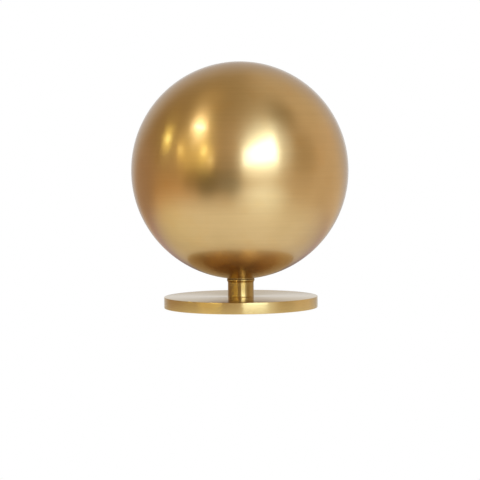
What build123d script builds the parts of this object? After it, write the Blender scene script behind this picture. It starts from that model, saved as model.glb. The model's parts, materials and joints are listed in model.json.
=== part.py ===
from build123d import *
import math
import os

# A satin brass ball finial, or fixed ball knob. A hollow ball, spun in two halves and brazed, screws down on a
# short turned neck, and the neck is soldered into a flat round base disc with a pad let into its underside.
#
# Millimetres. +Z is up, along the axis that every piece is turned about. The origin is the centre of the
# underside, on the surface that the object stands on.

# Driving dimensions
BALL_DIAMETER = 100.0
BALL_WALL = 1.5
DISC_DIAMETER = 71.0
DISC_THICKNESS = 5.1
NECK_DIAMETER = 12.0
NECK_HEIGHT = 7.9  # from the top of the disc to the shoulder that the ball seats on

# Base disc and its pad
DISC_EDGE = 0.25  # broken edge, top and bottom of the rim
PAD_DIAMETER = 63.0
PAD_BORE = 14.0
PAD_THICKNESS = 1.0
PAD_PROUD = 0.2  # how far the pad stands out of its recess
PAD_SIDE_GAP = 0.1

# Neck
COLLAR_DIAMETER = 12.8
COLLAR_HEIGHT = 0.6
COLLAR_EDGE = 0.12
COVE_HEIGHT = 0.8  # concave flare from the neck out to the collar
FOOT_FLARE = 0.2  # small concave foot where the neck meets the disc
SPIGOT_DIAMETER = 9.0  # the neck's lower end, inside the disc
SPIGOT_EDGE = 0.3
SOLDER_GAP = 0.02

# Fixing thread in the underside of the neck: M6, at its tapping size
FIXING_HOLE_RADIUS = 2.5
FIXING_HOLE_DEPTH = 11.0
DRILL_POINT_HALF_ANGLE = 59.0

# Thread between the neck and the ball: M8 x 1.25, right-handed, with 60 degree flanks
THREAD_MAJOR_RADIUS = 4.0
THREAD_PITCH = 1.25
THREAD_LENGTH = 10.0
THREAD_RELIEF = 0.9  # plain groove between the shoulder and the first thread
THREAD_RELIEF_RADIUS = 3.1
SCREW_CREST_RADIUS = 3.95
SCREW_ROOT_RADIUS = 3.2
NUT_CREST_RADIUS = 3.35
NUT_ROOT_RADIUS = 4.08
FLANK_CLEARANCE = 0.06  # between the two threads' flanks, square to the flank
LEAD_IN_HEIGHT = 1.0
LEAD_IN_RADIUS = 2.5

# Ball fittings
WASHER_THICKNESS = 0.3
WASHER_DIAMETER = 12.5
WASHER_BORE = 8.4
BOSS_DIAMETER = 12.8
BOSS_PROUD = 0.25  # how far the boss's face stands below the edge of its hole in the shell
BOSS_BODY_DIAMETER = 18.0
BOSS_HEIGHT = 14.0
BOSS_MOUTH_RADIUS = 4.15  # plain mouth below the first thread, wider than the thread's root
BOSS_MOUTH_DEPTH = 1.0
BOSS_MOUTH_EDGE = 0.35
BRAZE_GAP = 0.03
SEAM_RING_HEIGHT = 8.0
SEAM_RING_THICKNESS = 1.2

# Heights and radii that follow from them
BALL_RADIUS = BALL_DIAMETER / 2
BALL_INNER_RADIUS = BALL_RADIUS - BALL_WALL
BOSS_RADIUS = BOSS_DIAMETER / 2
BOSS_HOLE_RADIUS = BOSS_RADIUS + BRAZE_GAP
DISC_BOTTOM_Z = PAD_PROUD
DISC_TOP_Z = DISC_BOTTOM_Z + DISC_THICKNESS
RECESS_Z = PAD_THICKNESS
SHOULDER_Z = DISC_TOP_Z + NECK_HEIGHT
BOSS_BOTTOM_Z = SHOULDER_Z + WASHER_THICKNESS
BOSS_TOP_Z = BOSS_BOTTOM_Z + BOSS_HEIGHT
BALL_CENTRE_Z = BOSS_BOTTOM_Z + BOSS_PROUD + math.sqrt(BALL_RADIUS**2 - BOSS_RADIUS**2)
THREAD_START_Z = SHOULDER_Z + THREAD_RELIEF
THREAD_END_Z = THREAD_START_Z + THREAD_LENGTH

FLANK_SLOPE = math.tan(math.radians(30))  # axial run of a flank per unit of radius
FLANK_POINTS = 8
CUT_MARGIN = 1.0  # how far a cutting shape runs past the solid it cuts


def turned(*outline):
    """The solid that an outline of lines and arcs in the XZ plane makes when it is turned about Z."""
    return revolve(make_face(outline), Axis.Z)


def corners(*points):
    """Straight lines through points given as (radius, height), on the XZ plane."""
    return Polyline(*[(radius, 0, height) for radius, height in points])


def on_sphere(radius, angle):
    """The point on a sphere about the ball's centre at an angle up from its equator, in degrees."""
    turn = math.radians(angle)
    return (radius * math.cos(turn), 0, BALL_CENTRE_Z + radius * math.sin(turn))


def sphere_arc(radius, start, end):
    """The arc between two angles on a sphere about the ball's centre."""
    middle = (start + end) / 2
    return ThreePointArc(on_sphere(radius, start), on_sphere(radius, middle), on_sphere(radius, end))


def angle_at_radius(sphere_radius, radius):
    """How far up from the equator a sphere is a given distance from the axis, in degrees."""
    return math.degrees(math.acos(radius / sphere_radius))


def tube(outer_radius, inner_radius, bottom, height):
    """A plain ring with square edges."""
    outer = Pos(0, 0, bottom) * Cylinder(outer_radius, height, align=(Align.CENTER, Align.CENTER, Align.MIN))
    hole_height = height + 2 * CUT_MARGIN
    hole = Pos(0, 0, bottom - CUT_MARGIN) * Cylinder(
        inner_radius, hole_height, align=(Align.CENTER, Align.CENTER, Align.MIN)
    )
    return outer - hole


def thread_width(radius, extra):
    """Axial width, at a radius, of the V that both threads share, widened by extra in all."""
    sharp_flat = THREAD_PITCH / 8
    return sharp_flat + 2 * (THREAD_MAJOR_RADIUS - radius) * FLANK_SLOPE + extra


def thread_section(inner_radius, outer_radius, extra):
    """Cross-section, square to the axis, of a bar with one helical ridge.

    Along a flank the radius falls evenly with the angle, so each flank shows as a short spiral.
    """
    crest_angle = math.pi * thread_width(outer_radius, extra) / THREAD_PITCH
    root_angle = math.pi * thread_width(inner_radius, extra) / THREAD_PITCH

    def flank(side):
        points = []
        for step in range(FLANK_POINTS + 1):
            share = step / FLANK_POINTS
            radius = outer_radius + (inner_radius - outer_radius) * share
            angle = side * (crest_angle + (root_angle - crest_angle) * share)
            points.append((radius * math.cos(angle), radius * math.sin(angle)))
        return points

    left, right = flank(1), flank(-1)
    crest = ThreePointArc(right[0], (outer_radius, 0), left[0])
    root = ThreePointArc(left[-1], (-inner_radius, 0), right[-1])
    return make_face([crest, Spline(left), root, Spline(right)])


def helical_bar(inner_radius, outer_radius, extra, bottom, top):
    """A bar with one right-hand helical ridge. Its phase is tied to Z, so that two bars line up."""
    length = top - bottom
    section = thread_section(inner_radius, outer_radius, extra).face()
    turns = 360 * length / THREAD_PITCH
    bar = Solid.extrude_linear_with_rotation(section, center=(0, 0, 0), normal=(0, 0, length), angle=turns)
    return Pos(0, 0, bottom) * Rot(0, 0, 360 * bottom / THREAD_PITCH) * bar


def base_disc():
    """Flat disc with lightly broken edges, a hole for the neck, and a shallow recess for the pad."""
    rim = DISC_DIAMETER / 2
    bore = SPIGOT_DIAMETER / 2 + SOLDER_GAP
    recess = PAD_DIAMETER / 2 + PAD_SIDE_GAP
    return turned(
        corners(
            (bore, RECESS_Z),
            (recess, RECESS_Z),
            (recess, DISC_BOTTOM_Z),
            (rim - DISC_EDGE, DISC_BOTTOM_Z),
            (rim, DISC_BOTTOM_Z + DISC_EDGE),
            (rim, DISC_TOP_Z - DISC_EDGE),
            (rim - DISC_EDGE, DISC_TOP_Z),
            (bore, DISC_TOP_Z),
            (bore, RECESS_Z),
        )
    )


def base_pad():
    """Die-cut pad under the disc, open in the middle around the fixing thread."""
    return tube(PAD_DIAMETER / 2, PAD_BORE / 2, 0, PAD_THICKNESS)


def neck_blank():
    """Turned outside of the neck, from its spigot in the disc to the relief above its shoulder."""
    spigot = SPIGOT_DIAMETER / 2
    shaft = NECK_DIAMETER / 2
    foot = shaft + FOOT_FLARE
    collar = COLLAR_DIAMETER / 2
    foot_top = DISC_TOP_Z + 2 * FOOT_FLARE
    collar_bottom = SHOULDER_Z - COLLAR_HEIGHT
    cove_bottom = collar_bottom - COVE_HEIGHT
    cove_step = (collar - shaft) / 4
    lower = corners((0, RECESS_Z), (spigot - SPIGOT_EDGE, RECESS_Z), (spigot, RECESS_Z + SPIGOT_EDGE))
    seat = corners((spigot, RECESS_Z + SPIGOT_EDGE), (spigot, DISC_TOP_Z), (foot, DISC_TOP_Z))
    foot_cove = ThreePointArc(
        (foot, 0, DISC_TOP_Z),
        (shaft + FOOT_FLARE / 4, 0, DISC_TOP_Z + FOOT_FLARE),
        (shaft, 0, foot_top),
    )
    side = corners((shaft, foot_top), (shaft, cove_bottom))
    top_cove = ThreePointArc(
        (shaft, 0, cove_bottom),
        (shaft + cove_step, 0, cove_bottom + COVE_HEIGHT / 2),
        (collar, 0, collar_bottom),
    )
    top = corners(
        (collar, collar_bottom),
        (collar, SHOULDER_Z - COLLAR_EDGE),
        (collar - COLLAR_EDGE, SHOULDER_Z),
        (THREAD_RELIEF_RADIUS, SHOULDER_Z),
        (THREAD_RELIEF_RADIUS, THREAD_START_Z),
        (0, THREAD_START_Z),
        (0, RECESS_Z),
    )
    return turned(lower, seat, foot_cove, side, top_cove, top)


def fixing_hole():
    """Blind drilled hole that rises into the neck from its underside, with a drill point."""
    top = RECESS_Z + FIXING_HOLE_DEPTH
    point = FIXING_HOLE_RADIUS / math.tan(math.radians(DRILL_POINT_HALF_ANGLE))
    start = RECESS_Z - CUT_MARGIN
    return turned(
        corners((0, start), (FIXING_HOLE_RADIUS, start), (FIXING_HOLE_RADIUS, top), (0, top + point), (0, start))
    )


def lead_in():
    """Plain taper on the end of the screw that finds the thread in the ball."""
    top = THREAD_END_Z + LEAD_IN_HEIGHT
    return turned(
        corners(
            (0, THREAD_END_Z),
            (THREAD_RELIEF_RADIUS, THREAD_END_Z),
            (LEAD_IN_RADIUS, top),
            (0, top),
            (0, THREAD_END_Z),
        )
    )


def neck():
    """Neck turned from one bar: spigot, shaft, cove, collar, shoulder and the screw that carries the ball."""
    screw = helical_bar(SCREW_ROOT_RADIUS, SCREW_CREST_RADIUS, 0, THREAD_START_Z, THREAD_END_Z)
    return neck_blank() - fixing_hole() + screw + lead_in()


def seat_washer():
    """Thin washer between the neck's shoulder and the ball's boss."""
    return tube(WASHER_DIAMETER / 2, WASHER_BORE / 2, SHOULDER_Z, WASHER_THICKNESS)


def ball_boss():
    """Threaded boss brazed into the bottom pole: a plug in the shell's hole under a wider body inside."""
    body = BOSS_BODY_DIAMETER / 2
    mouth = BOSS_MOUTH_RADIUS
    mouth_top = BOSS_BOTTOM_Z + BOSS_MOUTH_DEPTH
    sphere = BALL_INNER_RADIUS - BRAZE_GAP
    plug_angle = -angle_at_radius(sphere, BOSS_RADIUS)
    body_angle = -angle_at_radius(sphere, body)
    plug_top = on_sphere(sphere, plug_angle)[2]
    body_bottom = on_sphere(sphere, body_angle)[2]
    plug = corners(
        (0, mouth_top),
        (mouth, mouth_top),
        (mouth, BOSS_BOTTOM_Z + BOSS_MOUTH_EDGE),
        (mouth + BOSS_MOUTH_EDGE, BOSS_BOTTOM_Z),
        (BOSS_RADIUS, BOSS_BOTTOM_Z),
        (BOSS_RADIUS, plug_top),
    )
    shoulder = sphere_arc(sphere, plug_angle, body_angle)
    top = corners((body, body_bottom), (body, BOSS_TOP_Z), (0, BOSS_TOP_Z), (0, mouth_top))
    clearance = 2 * FLANK_CLEARANCE / math.cos(math.radians(30))
    thread_bottom = BOSS_BOTTOM_Z - CUT_MARGIN
    thread_top = BOSS_TOP_Z + CUT_MARGIN
    thread = helical_bar(NUT_CREST_RADIUS, NUT_ROOT_RADIUS, clearance, thread_bottom, thread_top)
    return turned(plug, shoulder, top) - thread


def ball_upper_shell():
    """Upper half of the spun ball, closed at the top."""
    outer = sphere_arc(BALL_RADIUS, 0, 90)
    crown = Line(on_sphere(BALL_RADIUS, 90), on_sphere(BALL_INNER_RADIUS, 90))
    inner = sphere_arc(BALL_INNER_RADIUS, 90, 0)
    seam = Line(on_sphere(BALL_INNER_RADIUS, 0), on_sphere(BALL_RADIUS, 0))
    return turned(outer, crown, inner, seam)


def ball_lower_shell():
    """Lower half of the spun ball, with a hole at the bottom pole for the boss."""
    outer_angle = -angle_at_radius(BALL_RADIUS, BOSS_HOLE_RADIUS)
    inner_angle = -angle_at_radius(BALL_INNER_RADIUS, BOSS_HOLE_RADIUS)
    outer = sphere_arc(BALL_RADIUS, 0, outer_angle)
    hole = Line(on_sphere(BALL_RADIUS, outer_angle), on_sphere(BALL_INNER_RADIUS, inner_angle))
    inner = sphere_arc(BALL_INNER_RADIUS, inner_angle, 0)
    seam = Line(on_sphere(BALL_INNER_RADIUS, 0), on_sphere(BALL_RADIUS, 0))
    return turned(outer, hole, inner, seam)


def seam_ring():
    """Ring inside the ball's equator that lines up the two halves and backs their brazed joint."""
    sphere = BALL_INNER_RADIUS - BRAZE_GAP
    half_angle = math.degrees(math.asin(SEAM_RING_HEIGHT / 2 / sphere))
    bore = sphere * math.cos(math.radians(half_angle)) - SEAM_RING_THICKNESS
    bottom = BALL_CENTRE_Z - SEAM_RING_HEIGHT / 2
    top = BALL_CENTRE_Z + SEAM_RING_HEIGHT / 2
    face = sphere_arc(sphere, -half_angle, half_angle)
    edge = sphere * math.cos(math.radians(half_angle))
    return turned(face, corners((edge, top), (bore, top), (bore, bottom), (edge, bottom)))


PIECES = [
    base_pad,
    base_disc,
    neck,
    seat_washer,
    ball_boss,
    ball_lower_shell,
    seam_ring,
    ball_upper_shell,
]

os.makedirs("parts", exist_ok=True)
for piece in PIECES:
    solid = piece()
    solid.label = piece.__name__
    export_step(solid, f"parts/{piece.__name__}.step")
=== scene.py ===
import json
import math

import bpy
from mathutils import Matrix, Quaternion, Vector

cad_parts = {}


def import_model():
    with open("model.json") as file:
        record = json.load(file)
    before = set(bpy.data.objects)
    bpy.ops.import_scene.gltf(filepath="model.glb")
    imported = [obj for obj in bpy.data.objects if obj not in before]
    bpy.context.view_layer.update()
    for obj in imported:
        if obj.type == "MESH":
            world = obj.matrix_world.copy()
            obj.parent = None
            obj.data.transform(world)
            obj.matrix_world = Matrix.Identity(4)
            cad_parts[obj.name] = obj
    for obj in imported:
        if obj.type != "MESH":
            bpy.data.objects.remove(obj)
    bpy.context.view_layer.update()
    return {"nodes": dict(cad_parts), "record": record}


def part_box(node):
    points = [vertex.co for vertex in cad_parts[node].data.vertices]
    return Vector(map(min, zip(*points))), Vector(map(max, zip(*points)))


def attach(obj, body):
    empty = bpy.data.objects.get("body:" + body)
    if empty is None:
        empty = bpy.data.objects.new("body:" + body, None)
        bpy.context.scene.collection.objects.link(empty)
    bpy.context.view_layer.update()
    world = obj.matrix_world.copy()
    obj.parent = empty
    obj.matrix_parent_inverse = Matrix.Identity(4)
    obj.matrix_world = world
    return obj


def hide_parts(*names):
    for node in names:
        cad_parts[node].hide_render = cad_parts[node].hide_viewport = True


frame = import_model()

MM = 0.001
FULL_TURN = 2 * math.pi
NEARBY = 0.1 * MM  # how far beyond an edge to look, to be sure of finding its points

# ---------------------------------------------------------------- sizes, from the frame


def heights(node):
    """(lowest, highest) height of a CAD node."""
    return tuple(corner.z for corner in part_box(node))


def radii(node, low=-1.0, high=1.0):
    """(smallest, largest) distance of a CAD node's points from the axis, between two heights."""
    found = []
    for vertex in frame["nodes"][node].data.vertices:
        if low <= vertex.co.z <= high:
            found.append(vertex.co.xy.length)
    return min(found), max(found)


def mount_dims(name):
    """Sizes of one of the record's mounts, in millimetres."""
    return next(entry["dims"] for entry in frame["record"]["mounts"] if entry["name"] == name)


DISC_LOW, DISC_HIGH = heights("base_disc")
PAD_LOW, PAD_HIGH = heights("base_pad")
NECK_LOW, NECK_HIGH = heights("neck")
SHOULDER, WASHER_HIGH = heights("seat_washer")
BOSS_LOW, BOSS_HIGH = heights("ball_boss")
RING_LOW, RING_HIGH = heights("seam_ring")
BALL_CENTRE, BALL_TOP = heights("ball_upper_shell")

DISC_BORE, DISC_RADIUS = radii("base_disc")
PAD_BORE, PAD_RADIUS = radii("base_pad")
PAD_SIDE_GAP = 0.1 * MM
RECESS_RADIUS = PAD_RADIUS + PAD_SIDE_GAP
WASHER_BORE, WASHER_RADIUS = radii("seat_washer")
BALL_RADIUS = BALL_TOP - BALL_CENTRE
BALL_INNER_RADIUS = radii("ball_upper_shell", BALL_CENTRE, BALL_CENTRE)[0]
POLE_HOLE_RADIUS = radii("ball_lower_shell")[0]
RING_BORE, RING_RADIUS = radii("seam_ring")

# The neck, from its spigot in the disc up to the collar that the ball seats on
FOOT_FLARE = 0.2 * MM
COVE_HEIGHT = 0.8 * MM
COLLAR_HEIGHT = 0.6 * MM
SHAFT_LOW = DISC_HIGH + 2 * FOOT_FLARE
COLLAR_LOW = SHOULDER - COLLAR_HEIGHT
SHAFT_HIGH = COLLAR_LOW - COVE_HEIGHT
SPIGOT_RADIUS = radii("neck", NECK_LOW, DISC_HIGH - NEARBY)[1]
SHAFT_RADIUS = radii("neck", SHAFT_LOW - NEARBY, SHAFT_HIGH + NEARBY)[0]
COLLAR_RADIUS = radii("neck")[1]

# The fixing hole in the neck's underside, with an M6 thread
HOLE_RADIUS = mount_dims("fixing_thread")["r_mm"] * MM
HOLE_TOP = NECK_LOW + mount_dims("fixing_thread")["length_mm"] * MM
DRILL_POINT_HALF_ANGLE = math.radians(59)
FIXING_PITCH = 1.0 * MM
FIXING_MAJOR_RADIUS = 3.0 * MM
FIXING_CLEARANCE = 0.1 * MM

# The screw on the neck and the thread in the boss, each measured where its thread is whole
PITCH = frame["record"]["behaviour"]["couplings"][0]["ratio"] * FULL_TURN
MAJOR_RADIUS = 4.0 * MM
SCREW_ROOT, SCREW_CREST = radii("neck", SHOULDER + 2 * MM, NECK_HIGH - 2 * MM)
RELIEF_RADIUS = 3.1 * MM
RELIEF_HEIGHT = 0.9 * MM
LEAD_IN_HEIGHT = 1.0 * MM
SCREW_LOW = SHOULDER + RELIEF_HEIGHT
SCREW_HIGH = NECK_HIGH - LEAD_IN_HEIGHT
TIP_RADIUS = radii("neck", NECK_HIGH - NEARBY, NECK_HIGH)[1]
NUT_CREST, NUT_ROOT = radii("ball_boss", BOSS_LOW + 3 * MM, BOSS_HIGH - MM)
FLANK_ANGLE = math.radians(30)
FLANK_CLEARANCE = 0.06 * MM  # square to the flank
NUT_EXTRA = 2 * FLANK_CLEARANCE / math.cos(FLANK_ANGLE)
MOUTH_CLEARANCE = 0.07 * MM
MOUTH_DEPTH = 1.0 * MM
MOUTH_EDGE = 0.35 * MM
MOUTH_RADIUS = NUT_ROOT + MOUTH_CLEARANCE
MOUTH_TOP = BOSS_LOW + MOUTH_DEPTH
BRAZE_GAP = 0.03 * MM
BOSS_RADIUS = radii("ball_boss", BOSS_LOW, BOSS_LOW + NEARBY)[1]
BOSS_BODY_RADIUS = radii("ball_boss")[1]

# ---------------------------------------------------------------- mesh helpers

SEGMENTS = 256
THREAD_SEGMENTS = 96
OUTER_STEPS = 90
INNER_STEPS = 40


def rounded(points, radius, closed=True, steps=4):
    """An outline of (radius, height) corners, with each corner turned into a small arc."""
    outline = []
    count = len(points)
    for index, corner in enumerate(points):
        if not closed and index in (0, count - 1):
            outline.append(corner)
            continue
        corner = Vector(corner)
        before = Vector(points[index - 1]) - corner
        after = Vector(points[(index + 1) % count]) - corner
        reach = min(radius / math.tan(before.angle(after) / 2), before.length / 2.2, after.length / 2.2)
        start = corner + before.normalized() * reach
        end = corner + after.normalized() * reach
        for step in range(steps + 1):
            share = step / steps
            first = start.lerp(corner, share)
            second = corner.lerp(end, share)
            outline.append(tuple(first.lerp(second, share)))
    return outline


def cove(start, end, bulge, steps=8):
    """Points of a concave curve from one (radius, height) to another.

    Bulge says where the curve's middle is pulled to: 0 is the start's radius and 1 is the end's.
    """
    middle_radius = start[0] + (end[0] - start[0]) * bulge
    middle_height = (start[1] + end[1]) / 2
    points = []
    for step in range(steps + 1):
        share = step / steps
        first = Vector(start).lerp((middle_radius, middle_height), share)
        second = Vector((middle_radius, middle_height)).lerp(end, share)
        points.append(tuple(first.lerp(second, share)))
    return points


def level_rings(outline, segments=SEGMENTS):
    """A level ring of points, closed on itself, at each (radius, height)."""
    rings = []
    for radius, height in outline:
        ring = []
        for step in range(segments + 1):
            angle = FULL_TURN * (step % segments) / segments
            ring.append((radius * math.cos(angle), radius * math.sin(angle), height))
        rings.append(ring)
    return rings


class Thread:
    """A right-hand thread with 60 degree flanks, whose ridge passes angle 0 at every whole pitch.

    Inner and outer are its smallest and largest radius. Extra is what clearance adds to the ridge's width.
    """

    def __init__(self, pitch, major, inner, outer, extra=0.0):
        self.pitch = pitch
        self.inner = inner
        self.outer = outer
        slope = math.tan(FLANK_ANGLE)
        self.crest_half = (pitch / 8 + 2 * (major - outer) * slope + extra) / 2
        self.root_half = (pitch / 8 + 2 * (major - inner) * slope + extra) / 2

    def radius(self, turn, height):
        """Radius of the thread's surface at a share of a turn round the axis and a height."""
        offset = abs((height / self.pitch - turn + 0.5) % 1 - 0.5) * self.pitch
        share = (offset - self.crest_half) / (self.root_half - self.crest_half)
        return self.outer + (self.inner - self.outer) * min(max(share, 0.0), 1.0)

    def rings(self, low, high, segments=THREAD_SEGMENTS):
        """Rings that climb with the thread, and lie flat where they would pass its two level ends."""
        corners = [(-self.root_half, self.inner), (-self.crest_half, self.outer)]
        corners += [(self.crest_half, self.outer), (self.root_half, self.inner)]
        rings = []
        for turn in range(math.floor(low / self.pitch) - 2, math.ceil(high / self.pitch) + 2):
            for offset, corner_radius in corners:
                ring = []
                for step in range(segments + 1):
                    share = step / segments
                    climb = (turn + share) * self.pitch + offset
                    height = min(max(climb, low), high)
                    radius = corner_radius if height == climb else self.radius(share, height)
                    angle = FULL_TURN * share
                    ring.append((radius * math.cos(angle), radius * math.sin(angle), height))
                rings.append(ring)
        return rings


def skin(name, rings, closed=True, sharp_degrees=40):
    """A mesh stretched over rings of equal length. Points that coincide become one vertex."""
    vertices = []
    numbers = {}

    def number(point):
        key = tuple(round(value / MM, 5) for value in point)
        if key not in numbers:
            numbers[key] = len(vertices)
            vertices.append(point)
        return numbers[key]

    indexed = [[number(point) for point in ring] for ring in rings]
    faces = []
    for index in range(len(indexed) if closed else len(indexed) - 1):
        lower, upper = indexed[index], indexed[(index + 1) % len(indexed)]
        for step in range(len(lower) - 1):
            corners = [lower[step], lower[step + 1], upper[step + 1], upper[step]]
            corners = list(dict.fromkeys(corners))
            if len(corners) > 2:
                faces.append(corners)
    mesh = bpy.data.meshes.new(name)
    mesh.from_pydata(vertices, [], faces)
    mesh.validate()
    mesh.shade_smooth()
    mesh.set_sharp_from_angle(angle=math.radians(sharp_degrees))
    piece = bpy.data.objects.new(name, mesh)
    bpy.context.scene.collection.objects.link(piece)
    return piece


def fit(piece, material, body, node):
    """Gives a piece its material and the body it rides on, and hides the CAD node it stands for."""
    piece.data.materials.append(material)
    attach(piece, body)
    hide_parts(node)


# ---------------------------------------------------------------- material helpers


class Nodes:
    """Short calls for building a node tree."""

    def __init__(self, owner):
        owner.use_nodes = True
        self.owner = owner
        self.tree = owner.node_tree
        self.shader = self.tree.nodes.get("Principled BSDF")

    def add(self, kind, inputs=None, **settings):
        node = self.tree.nodes.new(kind)
        for key, value in settings.items():
            setattr(node, key, value)
        for key, value in (inputs or {}).items():
            self.put(node.inputs[key], value)
        return node

    def shade(self, inputs):
        """Sets or links inputs of the material's own shader."""
        for key, value in inputs.items():
            self.put(self.shader.inputs[key], value)

    def put(self, socket, value):
        if isinstance(value, bpy.types.NodeSocket):
            self.tree.links.new(value, socket)
        else:
            socket.default_value = value

    def math(self, operation, first, second=0.0):
        return self.add("ShaderNodeMath", {0: first, 1: second}, operation=operation).outputs[0]

    def vector(self, operation, first, second=(0, 0, 0)):
        return self.add("ShaderNodeVectorMath", {0: first, 1: second}, operation=operation).outputs["Vector"]

    def distance(self, first, second):
        node = self.add("ShaderNodeVectorMath", {0: first, 1: second}, operation="DISTANCE")
        return node.outputs["Value"]

    def split(self, vector):
        """A vector's X, Y and Z."""
        return self.add("ShaderNodeSeparateXYZ", {0: vector}).outputs

    def remap(self, value, low, high, new_low, new_high):
        inputs = {"Value": value, "From Min": low, "From Max": high, "To Min": new_low, "To Max": new_high}
        return self.add("ShaderNodeMapRange", inputs).outputs["Result"]

    def smooth(self, value, low, high):
        """0 at low, 1 at high, and an S-curve between."""
        inputs = {"Value": value, "From Min": low, "From Max": high}
        node = self.add("ShaderNodeMapRange", inputs, interpolation_type="SMOOTHSTEP")
        return node.outputs["Result"]

    def mix(self, share, first, second, blend="MIX"):
        """Two colours mixed. Inputs 6 and 7 and output 2 are the Mix node's colour sockets."""
        inputs = {0: share, 6: first, 7: second}
        return self.add("ShaderNodeMix", inputs, data_type="RGBA", blend_type=blend).outputs[2]

    def grey(self, value):
        return self.add("ShaderNodeCombineXYZ", {0: value, 1: value, 2: value}).outputs[0]

    def noise(self, vector, scale, detail, roughness, w=None):
        """Noise between 0 and 1. With a w it is four-dimensional."""
        node = self.add("ShaderNodeTexNoise", noise_dimensions="3D" if w is None else "4D")
        inputs = {"Vector": vector, "Scale": scale, "Detail": detail, "Roughness": roughness}
        if w is not None:
            inputs["W"] = w
        for key, value in inputs.items():
            self.put(node.inputs[key], value)
        return node.outputs["Fac"]

    def mix_shaders(self, share, first, second):
        return self.add("ShaderNodeMixShader", {0: share, 1: first, 2: second}).outputs[0]

    def add_shaders(self, first, second):
        return self.add("ShaderNodeAddShader", {0: first, 1: second}).outputs[0]

    def emission(self, colour, strength=1.0):
        return self.add("ShaderNodeEmission", {0: colour, 1: strength}).outputs[0]


def turned_noise(n, place, pitch, length, detail):
    """Noise drawn out into marks that run round the axis: pitch apart along the profile, and length long.

    X and Y are squeezed so that little changes on the way round, and the radius is the noise's fourth
    dimension. The squeeze is eased close to the axis, where a whole ring is shorter than a mark.
    """
    x, y, z = n.split(place)
    radius = n.math("SQRT", n.math("ADD", n.math("MULTIPLY", x, x), n.math("MULTIPLY", y, y)))
    ease = n.math("DIVIDE", 0.4 * pitch, n.math("MAXIMUM", radius, 0.01 * MM))
    squeeze = n.math("ADD", pitch / length, ease)
    flat = [n.math("MULTIPLY", side, squeeze) for side in (x, y)]
    along = n.add("ShaderNodeCombineXYZ", {0: flat[0], 1: flat[1], 2: z}).outputs[0]
    return n.noise(along, 1 / pitch, detail, 0.6, radius)


def tinted(colour, red, green, blue):
    """A colour with each channel scaled, as a node's colour."""
    return (colour[0] * red, colour[1] * green, colour[2] * blue, 1)


def brass(name, colour, roughness, face_roughness, anisotropy, pitch, depth, length, lacquer=0.0):
    """Brass brushed or turned round the axis, with fine rings, drifting tone and faint handling marks.

    Faces square to the axis take face_roughness, and everything else takes roughness. The rings are pitch
    apart, depth deep and length long. Lacquer is how much of a thin clear coat lies on top.
    """
    n = Nodes(bpy.data.materials.new(name))
    coordinates = n.add("ShaderNodeTexCoord").outputs
    place = coordinates["Object"]
    fine = turned_noise(n, place, pitch, length, 3.0)
    hair = turned_noise(n, place, pitch / 3, length / 2, 1.0)
    broad = turned_noise(n, place, pitch * 7, length * 3, 2.0)
    cloud = n.noise(place, 38.0, 3.0, 0.5)
    smear = n.noise(place, 130.0, 2.0, 0.5)
    drift = n.noise(place, 25.0, 0.0, 0.5)

    dull = tinted(colour, 0.955, 0.95, 0.93)
    clean = tinted(colour, 1.03, 1.04, 1.06)
    warm = tinted(colour, 1.01, 0.95, 0.85)
    tone = n.mix(n.remap(cloud, 0.35, 0.65, 0.0, 1.0), dull, clean)
    tone = n.mix(n.remap(smear, 0.5, 0.75, 0.0, 0.45), tone, warm)
    lines = n.math("ADD", n.remap(fine, 0.3, 0.7, 0.97, 1.02), n.remap(broad, 0.3, 0.7, -0.018, 0.016))
    tone = n.mix(1.0, tone, n.grey(lines), "MULTIPLY")

    # The roughness drifts slowly. Ring by ring it would tear the edges of bright reflections into streaks.
    upright = n.math("ABSOLUTE", n.split(coordinates["Normal"])["Z"])
    rough = n.remap(n.smooth(upright, 0.97, 1.0), 0.0, 1.0, roughness, face_roughness)
    rough = n.math("ADD", rough, n.remap(drift, 0.3, 0.7, -0.008, 0.008))

    height = n.math("ADD", n.math("MULTIPLY", fine, depth), n.math("MULTIPLY", hair, depth / 3))
    height = n.math("ADD", height, n.math("MULTIPLY", broad, depth * 2))
    bump = n.add("ShaderNodeBump", {"Strength": 1.0, "Distance": 1.0, "Height": height})
    tangent = n.add("ShaderNodeTangent", direction_type="RADIAL", axis="Z")

    n.shade(
        {
            "Base Color": tone,
            "Metallic": 1.0,
            "Roughness": rough,
            "Anisotropic": anisotropy,
            "Anisotropic Rotation": 0.25,
            "Tangent": tangent.outputs[0],
            "Normal": bump.outputs[0],
            "Coat Weight": lacquer,
            "Coat Roughness": 0.12,
        }
    )
    return n.owner


def felt():
    """Dark pressed felt: matted fibres over soft clumps."""
    n = Nodes(bpy.data.materials.new("felt"))
    place = n.add("ShaderNodeTexCoord").outputs["Object"]
    fibres = n.noise(place, 2600.0, 5.0, 0.7)
    clumps = n.noise(place, 420.0, 3.0, 0.6)
    tone = n.mix(n.remap(fibres, 0.3, 0.7, 0.0, 1.0), (0.018, 0.018, 0.019, 1), (0.075, 0.073, 0.07, 1))
    height = n.math("ADD", fibres, clumps)
    bump = n.add("ShaderNodeBump", {"Strength": 1.0, "Distance": 0.12 * MM, "Height": height})
    rough = n.remap(clumps, 0.3, 0.7, 0.88, 1.0)
    n.shade({"Base Color": tone, "Roughness": rough, "Sheen Weight": 0.25, "Normal": bump.outputs[0]})
    return n.owner


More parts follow.
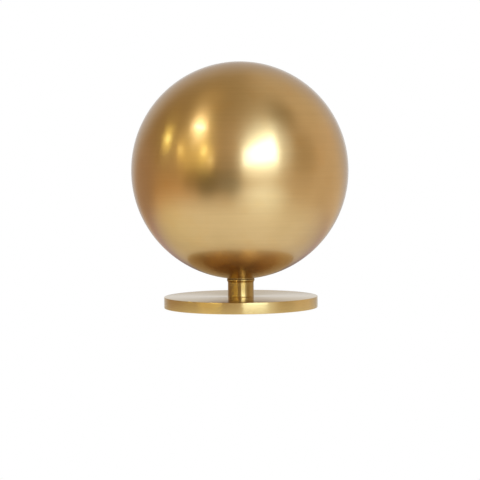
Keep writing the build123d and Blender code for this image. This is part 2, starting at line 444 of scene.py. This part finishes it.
def fibre():
    """Brown vulcanised fibre with a fine grain."""
    n = Nodes(bpy.data.materials.new("vulcanised_fibre"))
    place = n.add("ShaderNodeTexCoord").outputs["Object"]
    grain = n.noise(place, 3200.0, 4.0, 0.65)
    tone = n.mix(n.remap(grain, 0.35, 0.65, 0.0, 1.0), (0.06, 0.026, 0.012, 1), (0.13, 0.06, 0.03, 1))
    bump = n.add("ShaderNodeBump", {"Strength": 0.6, "Distance": 0.03 * MM, "Height": grain})
    rough = n.remap(grain, 0.3, 0.7, 0.6, 0.78)
    n.shade({"Base Color": tone, "Roughness": rough, "Normal": bump.outputs[0]})
    return n.owner


# Each roughness, with its drift, keeps clear of 0.274. A surface that crosses that value renders with faint
# lines along the crossing.
ball_brass = brass(
    "ball_satin_brass",
    colour=(0.657, 0.46, 0.228),
    roughness=0.288,
    face_roughness=0.288,
    anisotropy=0.62,
    pitch=0.9 * MM,
    depth=0.0003 * MM,
    length=60 * MM,
    lacquer=0.6,
)
disc_brass = brass(
    "disc_turned_brass",
    colour=(0.68, 0.50, 0.235),
    roughness=0.25,
    face_roughness=0.19,
    anisotropy=0.90,
    pitch=0.6 * MM,
    depth=0.0004 * MM,
    length=80 * MM,
)
# The neck's brass is darker than the ball's: painted shade for the neck's place under the ball. The boss
# takes this brass too.
shaded_neck_brass = brass(
    "neck_turned_brass",
    colour=(0.485, 0.348, 0.145),
    roughness=0.23,
    face_roughness=0.25,
    anisotropy=0.88,
    pitch=0.4 * MM,
    depth=0.0004 * MM,
    length=30 * MM,
)
inner_brass = brass(
    "inner_brass",
    colour=(0.5, 0.34, 0.17),
    roughness=0.42,
    face_roughness=0.42,
    anisotropy=0.2,
    pitch=0.5 * MM,
    depth=0.003 * MM,
    length=30 * MM,
)

# ---------------------------------------------------------------- the ball


def sphere_arc(radius, start, end, steps):
    """(radius, height) points on a sphere about the ball's centre, between two angles up from level.

    The first and last steps are short, so that the shading stays true next to the ends.
    """
    shares = [step / steps for step in range(steps + 1)]
    shares = [0.0, 0.1 / steps] + shares[1:-1] + [1 - 0.1 / steps, 1.0]
    angles = [start + (end - start) * share for share in shares]
    return [(radius * math.cos(angle), BALL_CENTRE + radius * math.sin(angle)) for angle in angles]


def angle_at(sphere_radius, radius):
    """How far up from level a sphere is a given distance from the axis."""
    return math.acos(radius / sphere_radius)


def upper_shell():
    """Upper half of the hollow ball, closed at the top."""
    outer = sphere_arc(BALL_RADIUS, 0, FULL_TURN / 4, OUTER_STEPS)
    inner = sphere_arc(BALL_INNER_RADIUS, FULL_TURN / 4, 0, INNER_STEPS)
    piece = skin("ball_upper", level_rings(outer + inner))
    fit(piece, ball_brass, "ball", "ball_upper_shell")


def lower_shell():
    """Lower half of the hollow ball, with the hole at its pole that the boss fills."""
    outer = sphere_arc(BALL_RADIUS, -angle_at(BALL_RADIUS, POLE_HOLE_RADIUS), 0, OUTER_STEPS)
    inner = sphere_arc(BALL_INNER_RADIUS, 0, -angle_at(BALL_INNER_RADIUS, POLE_HOLE_RADIUS), INNER_STEPS)
    piece = skin("ball_lower", level_rings(outer + inner))
    fit(piece, ball_brass, "ball", "ball_lower_shell")


def seam_ring():
    """Ring inside the ball that backs the seam between its halves."""
    middle = (RING_LOW + RING_HIGH) / 2
    reach = math.asin((RING_HIGH - middle) / RING_RADIUS)
    face = sphere_arc(RING_RADIUS, -reach, reach, 8)
    inside = [face[-1], (RING_BORE, RING_HIGH), (RING_BORE, RING_LOW), face[0]]
    outline = face + rounded(inside, 0.3 * MM, closed=False)[1:-1]
    piece = skin("seam_ring_turned", level_rings(outline))
    fit(piece, inner_brass, "ball", "seam_ring")


def boss():
    """Threaded boss: a plug in the shell's hole, a body inside the ball, and a thread right through."""
    sphere = BALL_INNER_RADIUS - BRAZE_GAP
    plug_angle = -angle_at(sphere, BOSS_RADIUS)
    body_angle = -angle_at(sphere, BOSS_BODY_RADIUS)
    seat = sphere_arc(sphere, plug_angle, body_angle, 8)
    plug = [
        (MOUTH_RADIUS, MOUTH_TOP),
        (MOUTH_RADIUS, BOSS_LOW + MOUTH_EDGE),
        (MOUTH_RADIUS + MOUTH_EDGE, BOSS_LOW),
        (BOSS_RADIUS, BOSS_LOW),
        seat[0],
    ]
    body = [seat[-1], (BOSS_BODY_RADIUS, BOSS_HIGH), (NUT_ROOT, BOSS_HIGH)]
    outside = rounded(plug, 0.1 * MM, closed=False) + seat[1:] + rounded(body, 0.4 * MM, closed=False)[1:]
    nut = Thread(PITCH, MAJOR_RADIUS, NUT_CREST, NUT_ROOT, NUT_EXTRA)
    rings = level_rings(outside, THREAD_SEGMENTS) + nut.rings(MOUTH_TOP, BOSS_HIGH)[::-1]
    piece = skin("ball_boss_threaded", rings)
    fit(piece, shaded_neck_brass, "ball", "ball_boss")


# ---------------------------------------------------------------- the neck and the base


def neck():
    """Neck: fixing thread inside its foot, shaft, cove and collar, and the screw that carries the ball."""
    countersink = 0.3 * MM
    mouth_clearance = 0.05 * MM
    plain_end = 1.5 * MM  # the stretch at the hole's top that has no thread
    root = HOLE_RADIUS + FIXING_PITCH / 2
    mouth = root + mouth_clearance
    fixing_low = NECK_LOW + 2 * countersink
    fixing_high = HOLE_TOP - plain_end
    point_top = HOLE_TOP + HOLE_RADIUS / math.tan(DRILL_POINT_HALF_ANGLE)
    hole = [(0, point_top), (HOLE_RADIUS, HOLE_TOP), (HOLE_RADIUS, fixing_high)]
    foot = SHAFT_RADIUS + FOOT_FLARE
    underside = [
        (mouth, fixing_low),
        (mouth, NECK_LOW + countersink),
        (mouth + countersink, NECK_LOW),
        (SPIGOT_RADIUS, NECK_LOW),
        (SPIGOT_RADIUS, DISC_HIGH),
        (foot, DISC_HIGH),
    ]
    foot_cove = cove((foot, DISC_HIGH), (SHAFT_RADIUS, SHAFT_LOW), 0.85)
    top_cove = cove((SHAFT_RADIUS, SHAFT_HIGH), (COLLAR_RADIUS, COLLAR_LOW), 0.15)
    collar = [
        (COLLAR_RADIUS, COLLAR_LOW),
        (COLLAR_RADIUS, SHOULDER),
        (RELIEF_RADIUS, SHOULDER),
        (RELIEF_RADIUS, SCREW_LOW),
    ]
    outside = rounded(underside, 0.15 * MM, closed=False) + foot_cove[1:] + top_cove
    outside += rounded(collar, 0.1 * MM, closed=False)[1:]
    tip = [(RELIEF_RADIUS, SCREW_HIGH), (TIP_RADIUS, NECK_HIGH), (0, NECK_HIGH)]

    fixing = Thread(FIXING_PITCH, FIXING_MAJOR_RADIUS, HOLE_RADIUS, root, FIXING_CLEARANCE)
    screw = Thread(PITCH, MAJOR_RADIUS, SCREW_ROOT, SCREW_CREST)
    rings = level_rings(hole, THREAD_SEGMENTS) + fixing.rings(fixing_low, fixing_high)[::-1]
    rings += level_rings(outside, THREAD_SEGMENTS) + screw.rings(SCREW_LOW, SCREW_HIGH)
    rings += level_rings(rounded(tip, 0.15 * MM, closed=False), THREAD_SEGMENTS)
    piece = skin("neck_turned", rings, closed=False)
    fit(piece, shaded_neck_brass, "base", "neck")


def washer():
    """Thin washer between the neck's shoulder and the boss."""
    corners = [
        (WASHER_BORE, SHOULDER),
        (WASHER_RADIUS, SHOULDER),
        (WASHER_RADIUS, WASHER_HIGH),
        (WASHER_BORE, WASHER_HIGH),
    ]
    piece = skin("seat_washer_fibre", level_rings(rounded(corners, 0.05 * MM)))
    fit(piece, fibre(), "washer", "seat_washer")


def disc():
    """Flat disc with a recess for the pad and a hole for the neck's spigot."""
    corners = [
        (DISC_BORE, PAD_HIGH),
        (RECESS_RADIUS, PAD_HIGH),
        (RECESS_RADIUS, DISC_LOW),
        (DISC_RADIUS, DISC_LOW),
        (DISC_RADIUS, DISC_HIGH),
        (DISC_BORE, DISC_HIGH),
    ]
    piece = skin("base_disc_turned", level_rings(rounded(corners, 0.22 * MM)))
    fit(piece, disc_brass, "base", "base_disc")


def pad():
    """Pad let into the underside of the disc, open in the middle round the fixing thread."""
    corners = [(PAD_BORE, PAD_LOW), (PAD_RADIUS, PAD_LOW), (PAD_RADIUS, PAD_HIGH), (PAD_BORE, PAD_HIGH)]
    piece = skin("base_pad_felt", level_rings(rounded(corners, 0.3 * MM)))
    fit(piece, felt(), "base", "base_pad")


for build in (upper_shell, lower_shell, seam_ring, boss, neck, washer, disc, pad):
    build()

# ---------------------------------------------------------------- lights

CENTRE = Vector((0, 0, BALL_CENTRE))
LAMP_DISTANCE = 1.5


def direction(azimuth, elevation):
    """Unit vector at degrees to the right of the camera, as seen from the object, and degrees up."""
    turn, rise = math.radians(azimuth), math.radians(elevation)
    return Vector((math.sin(turn) * math.cos(rise), -math.cos(turn) * math.cos(rise), math.sin(rise)))


def panel(name, place, facing, width, height, radiance, colour, roll=0.0, glossy=True):
    """A flat light whose face shows the same brightness, radiance times colour, from every side."""
    data = bpy.data.lights.new(name, "AREA")
    data.shape = "RECTANGLE"
    data.size = width
    data.size_y = height
    data.energy = radiance * math.pi * width * height
    data.color = colour
    light = bpy.data.objects.new(name, data)
    light.location = CENTRE + place
    light.rotation_mode = "QUATERNION"
    light.rotation_quaternion = facing.to_track_quat("-Z", "Y") @ Quaternion((0, 0, 1), math.radians(roll))
    light.visible_camera = False
    light.visible_glossy = glossy
    bpy.context.scene.collection.objects.link(light)


def window():
    """Large window light, whose wall runs back past the camera, so that its far edge looks lower.

    Near and far are its two upright edges, seen from above. They, and the heights of its bottom and top, are
    in metres from the ball's centre.
    """
    near = direction(39.7, 0) * 1.0
    far = direction(3.2, 0) * 1.9
    bottom = 0.155
    top = 0.66
    along = far - near
    facing = Vector((along.y, -along.x, 0))
    place = (near + far) / 2 + Vector((0, 0, (bottom + top) / 2))
    if facing.dot(place) > 0:
        facing.negate()
    panel("window", place, facing, along.length, top - bottom, radiance=6.3, colour=(0.65, 0.84, 1.0))


def lamp(name, azimuth, elevation, width, height, radiance, colour, roll=0.0):
    """A small light that faces the ball, with its width and height in degrees."""
    place = direction(azimuth, elevation) * LAMP_DISTANCE
    spans = [2 * LAMP_DISTANCE * math.tan(math.radians(span) / 2) for span in (width, height)]
    panel(name, place, -place, *spans, radiance, colour, roll)


def overhead():
    """Broad soft light that the metal doesn't mirror."""
    above = direction(0, 90)
    span = 2.5
    panel("overhead", above * LAMP_DISTANCE, -above, span, span, radiance=0.6, colour=(1, 1, 1), glossy=False)


window()
# Each lamp's azimuth, elevation, width and height in degrees, then its radiance and colour
lamp("lamp_high", -52.3, 41.2, 11.5, 2.2, 31.0, (1.0, 1.0, 0.95))
lamp("lamp_left", -88, 24.5, 7, 5, 8.3, (1.0, 0.96, 0.36))
lamp("lamp_low", -66, 18, 4.5, 4.5, 7.5, (1.0, 0.84, 0.30))
lamp("lamp_front", -38, 18.5, 3.5, 6.5, 10.0, (1.0, 0.96, 0.38), roll=-15)
lamp("lamp_front_low", -30, 11, 3, 6, 8.5, (1.0, 0.86, 0.40), roll=-25)
overhead()

# ---------------------------------------------------------------- room and floor


def room(n, ray):
    """The dim warm room the metal reflects: a colour for each direction from the ball."""
    x, _, z = n.split(ray)

    def patch(under, azimuth, elevation, inner, outer, *colour):
        """A soft patch over another colour: full within inner degrees of a direction, gone at outer."""
        toward = direction(azimuth, elevation)
        dot = n.add("ShaderNodeVectorMath", {0: ray, 1: toward}, operation="DOT_PRODUCT")
        edge, full = math.cos(math.radians(outer)), math.cos(math.radians(inner))
        return n.mix(n.smooth(dot.outputs["Value"], edge, full), under, (*colour, 1))

    to_the_right = n.smooth(x, -0.9, 0.9)
    walls = n.mix(to_the_right, (0.44, 0.33, 0.20, 1), (0.76, 0.62, 0.45, 1))
    ceiling = n.mix(to_the_right, (0.36, 0.265, 0.135, 1), (0.53, 0.43, 0.27, 1))
    low_left = n.mix(n.smooth(z, -0.18, -0.33), (0.56, 0.355, 0.175, 1), (0.79, 0.53, 0.30, 1))
    low_walls = n.mix(n.smooth(x, -0.5, 0.5), low_left, (0.74, 0.61, 0.44, 1))
    left_corner = patch(walls, -112, 30, 8, 35, 0.37, 0.26, 0.13)
    upper = n.mix(n.smooth(z, 0.5, 0.97), left_corner, ceiling)
    streak = patch(upper, -80, 66, 3, 17, 0.55, 0.41, 0.20)
    high_right = patch(streak, 120, 52, 8, 34, 0.68, 0.57, 0.40)
    lamp_glow = patch(high_right, -53, 41, 4, 17, 1.0, 0.86, 0.36)
    gold = patch(lamp_glow, -50, 13, 6, 20, 0.97, 0.76, 0.28)
    lower = n.mix(n.smooth(z, 0.06, -0.03), gold, low_walls)
    back = patch(lower, 180, 5, 20, 62, 0.56, 0.52, 0.50)
    back_wall = patch(back, 178, 4, 6, 26, 0.76, 0.77, 0.79)
    far_left = patch(back_wall, -120, -8, 5, 34, 0.43, 0.29, 0.19)
    right_corner = patch(far_left, 69, 14, 6, 27, 0.51, 0.40, 0.25)
    high_corner = patch(right_corner, 68, 51, 4, 19, 0.31, 0.245, 0.14)
    dark_left = patch(high_corner, -48, -7, 4, 14, 0.23, 0.14, 0.06)
    dark_middle = patch(dark_left, -30, -10, 9, 16, 0.04, 0.025, 0.01)
    dark_right = patch(dark_middle, -10, -11, 8, 16, 0.20, 0.19, 0.15)
    return patch(dark_right, 33, 24, 10, 31, 0.98, 1.05, 1.02)


def split_by_viewer(n, for_camera, for_the_rest, output):
    """Ends a tree with one shader for the camera and another for everything else."""
    camera_ray = n.add("ShaderNodeLightPath").outputs["Is Camera Ray"]
    n.add(output, {0: n.mix_shaders(camera_ray, for_the_rest, for_camera)})


def world():
    """White behind the object. Everything the metal reflects is the room instead."""
    studio = bpy.data.worlds.new("studio")
    bpy.context.scene.world = studio
    n = Nodes(studio)
    n.tree.nodes.clear()
    ray = n.add("ShaderNodeTexCoord").outputs["Generated"]
    white = n.add("ShaderNodeBackground", {0: (1, 1, 1, 1)}).outputs[0]
    surroundings = n.add("ShaderNodeBackground", {0: room(n, ray)}).outputs[0]
    split_by_viewer(n, white, surroundings, "ShaderNodeOutputWorld")


def sheet_in_light(n, place):
    """The pale floor near the object, with painted light: its colour and emitted glow are brighter in front
    and darker behind as painted shade, and a painted cool glow lies towards the window.
    """
    x, y, _ = n.split(place)
    # Painted light and shade: the floor's colour and glow go from lit in front to shaded behind the object.
    front = n.smooth(y, 0.085, -0.045)
    pale = n.mix(front, (0.24, 0.19, 0.24, 1), (0.51, 0.52, 0.42, 1))
    painted_sheet_glow = n.mix(front, (0.19, 0.15, 0.19, 1), (0.48, 0.46, 0.32, 1))
    to_the_window = n.math("SUBTRACT", n.math("MULTIPLY", x, 0.3), y)
    painted_sheet_glow = n.mix(n.smooth(to_the_window, -0.03, 0.06), painted_sheet_glow, (0.0, 0.03, 0.2, 1), "ADD")
    return n.add_shaders(n.add("ShaderNodeBsdfDiffuse", {0: pale}).outputs[0], n.emission(painted_sheet_glow))


def floor_for_metal(n, place, incoming):
    """The floor that the metal sees.

    Close by it is the pale sheet, with the object's shadow behind it and the window's glare in front. Far out
    it takes the room's colours, and at a glancing angle it is polished and mirrors the room.
    """
    sheet_middle = (-0.012, -0.010, 0)
    from_middle = n.distance(place, sheet_middle)
    from_ball = n.vector("NORMALIZE", n.vector("SUBTRACT", place, CENTRE))
    fade = n.smooth(from_middle, 0.07, 0.185)
    open_floor = n.mix_shaders(fade, sheet_in_light(n, place), n.emission(room(n, from_ball)))

    # The shadow is a soft ellipse that is longer away from the camera than across.
    squashed = n.vector("MULTIPLY", place, (1.0, 0.6, 1.0))
    shadow_middle = (0, 0.050, 0)
    from_shadow = n.distance(squashed, shadow_middle)
    lit_share = n.remap(n.smooth(from_shadow, 0.018, 0.062), 0.0, 1.0, 0.15, 1.0)
    shaded = n.mix_shaders(lit_share, n.emission((0.10, 0.07, 0.055, 1)), open_floor)

    glare_middle = (0.068, -0.17, 0)
    glare = n.smooth(n.distance(place, glare_middle), 0.105, 0.02)
    matt = n.add_shaders(shaded, n.emission((0.66, 0.95, 1.1, 1), glare))

    mirror = n.add("ShaderNodeBsdfGlossy", {0: (0.97, 0.97, 0.97, 1), "Roughness": 0.12}).outputs[0]
    glancing = n.smooth(n.split(incoming)["Z"], 0.19, 0.09)
    polish = n.math("MULTIPLY", glancing, n.smooth(from_middle, 0.30, 0.18))
    return n.mix_shaders(polish, matt, mirror)


def floor():
    """Floor, plain white to the camera from above and clear to it from below."""
    reach = 6.0
    corners = [(-reach, -reach, 0), (reach, -reach, 0), (reach, reach, 0), (-reach, reach, 0)]
    mesh = bpy.data.meshes.new("floor")
    mesh.from_pydata(corners, [], [(0, 1, 2, 3)])
    sheet = bpy.data.objects.new("floor", mesh)
    sheet.location.z = -0.05 * MM  # clear of the pad, so that neither shows through the other
    bpy.context.scene.collection.objects.link(sheet)

    n = Nodes(bpy.data.materials.new("floor_white"))
    n.tree.nodes.clear()
    place = n.add("ShaderNodeTexCoord").outputs["Object"]
    surface = n.add("ShaderNodeNewGeometry").outputs
    clear = n.add("ShaderNodeBsdfTransparent").outputs[0]
    for_camera = n.mix_shaders(surface["Backfacing"], n.emission((1, 1, 1, 1)), clear)
    for_metal = floor_for_metal(n, place, surface["Incoming"])
    split_by_viewer(n, for_camera, for_metal, "ShaderNodeOutputMaterial")
    mesh.materials.append(n.owner)


# ---------------------------------------------------------------- camera

CAMERA_DISTANCE = 675 * MM
CAMERA_SIDE_STEP = -0.19 * MM
SENSOR_WIDTH = 36.0  # mm, as Blender takes it
LENS = 109.65  # mm, on that sensor
TILT = math.radians(2.72)
ROLL = math.radians(0.48)


def camera():
    """Camera level with the ball's centre, tilted a little down, and rolled as the photograph is."""
    data = bpy.data.cameras.new("camera")
    data.sensor_width = SENSOR_WIDTH
    data.lens = LENS
    data.clip_start = 0.01
    eye = bpy.data.objects.new("camera", data)
    eye.location = (CAMERA_SIDE_STEP, -CAMERA_DISTANCE, BALL_CENTRE)
    eye.rotation_mode = "QUATERNION"
    tilted = Quaternion((1, 0, 0), math.pi / 2 - TILT)
    eye.rotation_quaternion = tilted @ Quaternion((0, 0, 1), -ROLL)
    bpy.context.scene.collection.objects.link(eye)
    bpy.context.scene.camera = eye


world()
floor()
camera()
bpy.context.scene.view_settings.view_transform = "Standard"
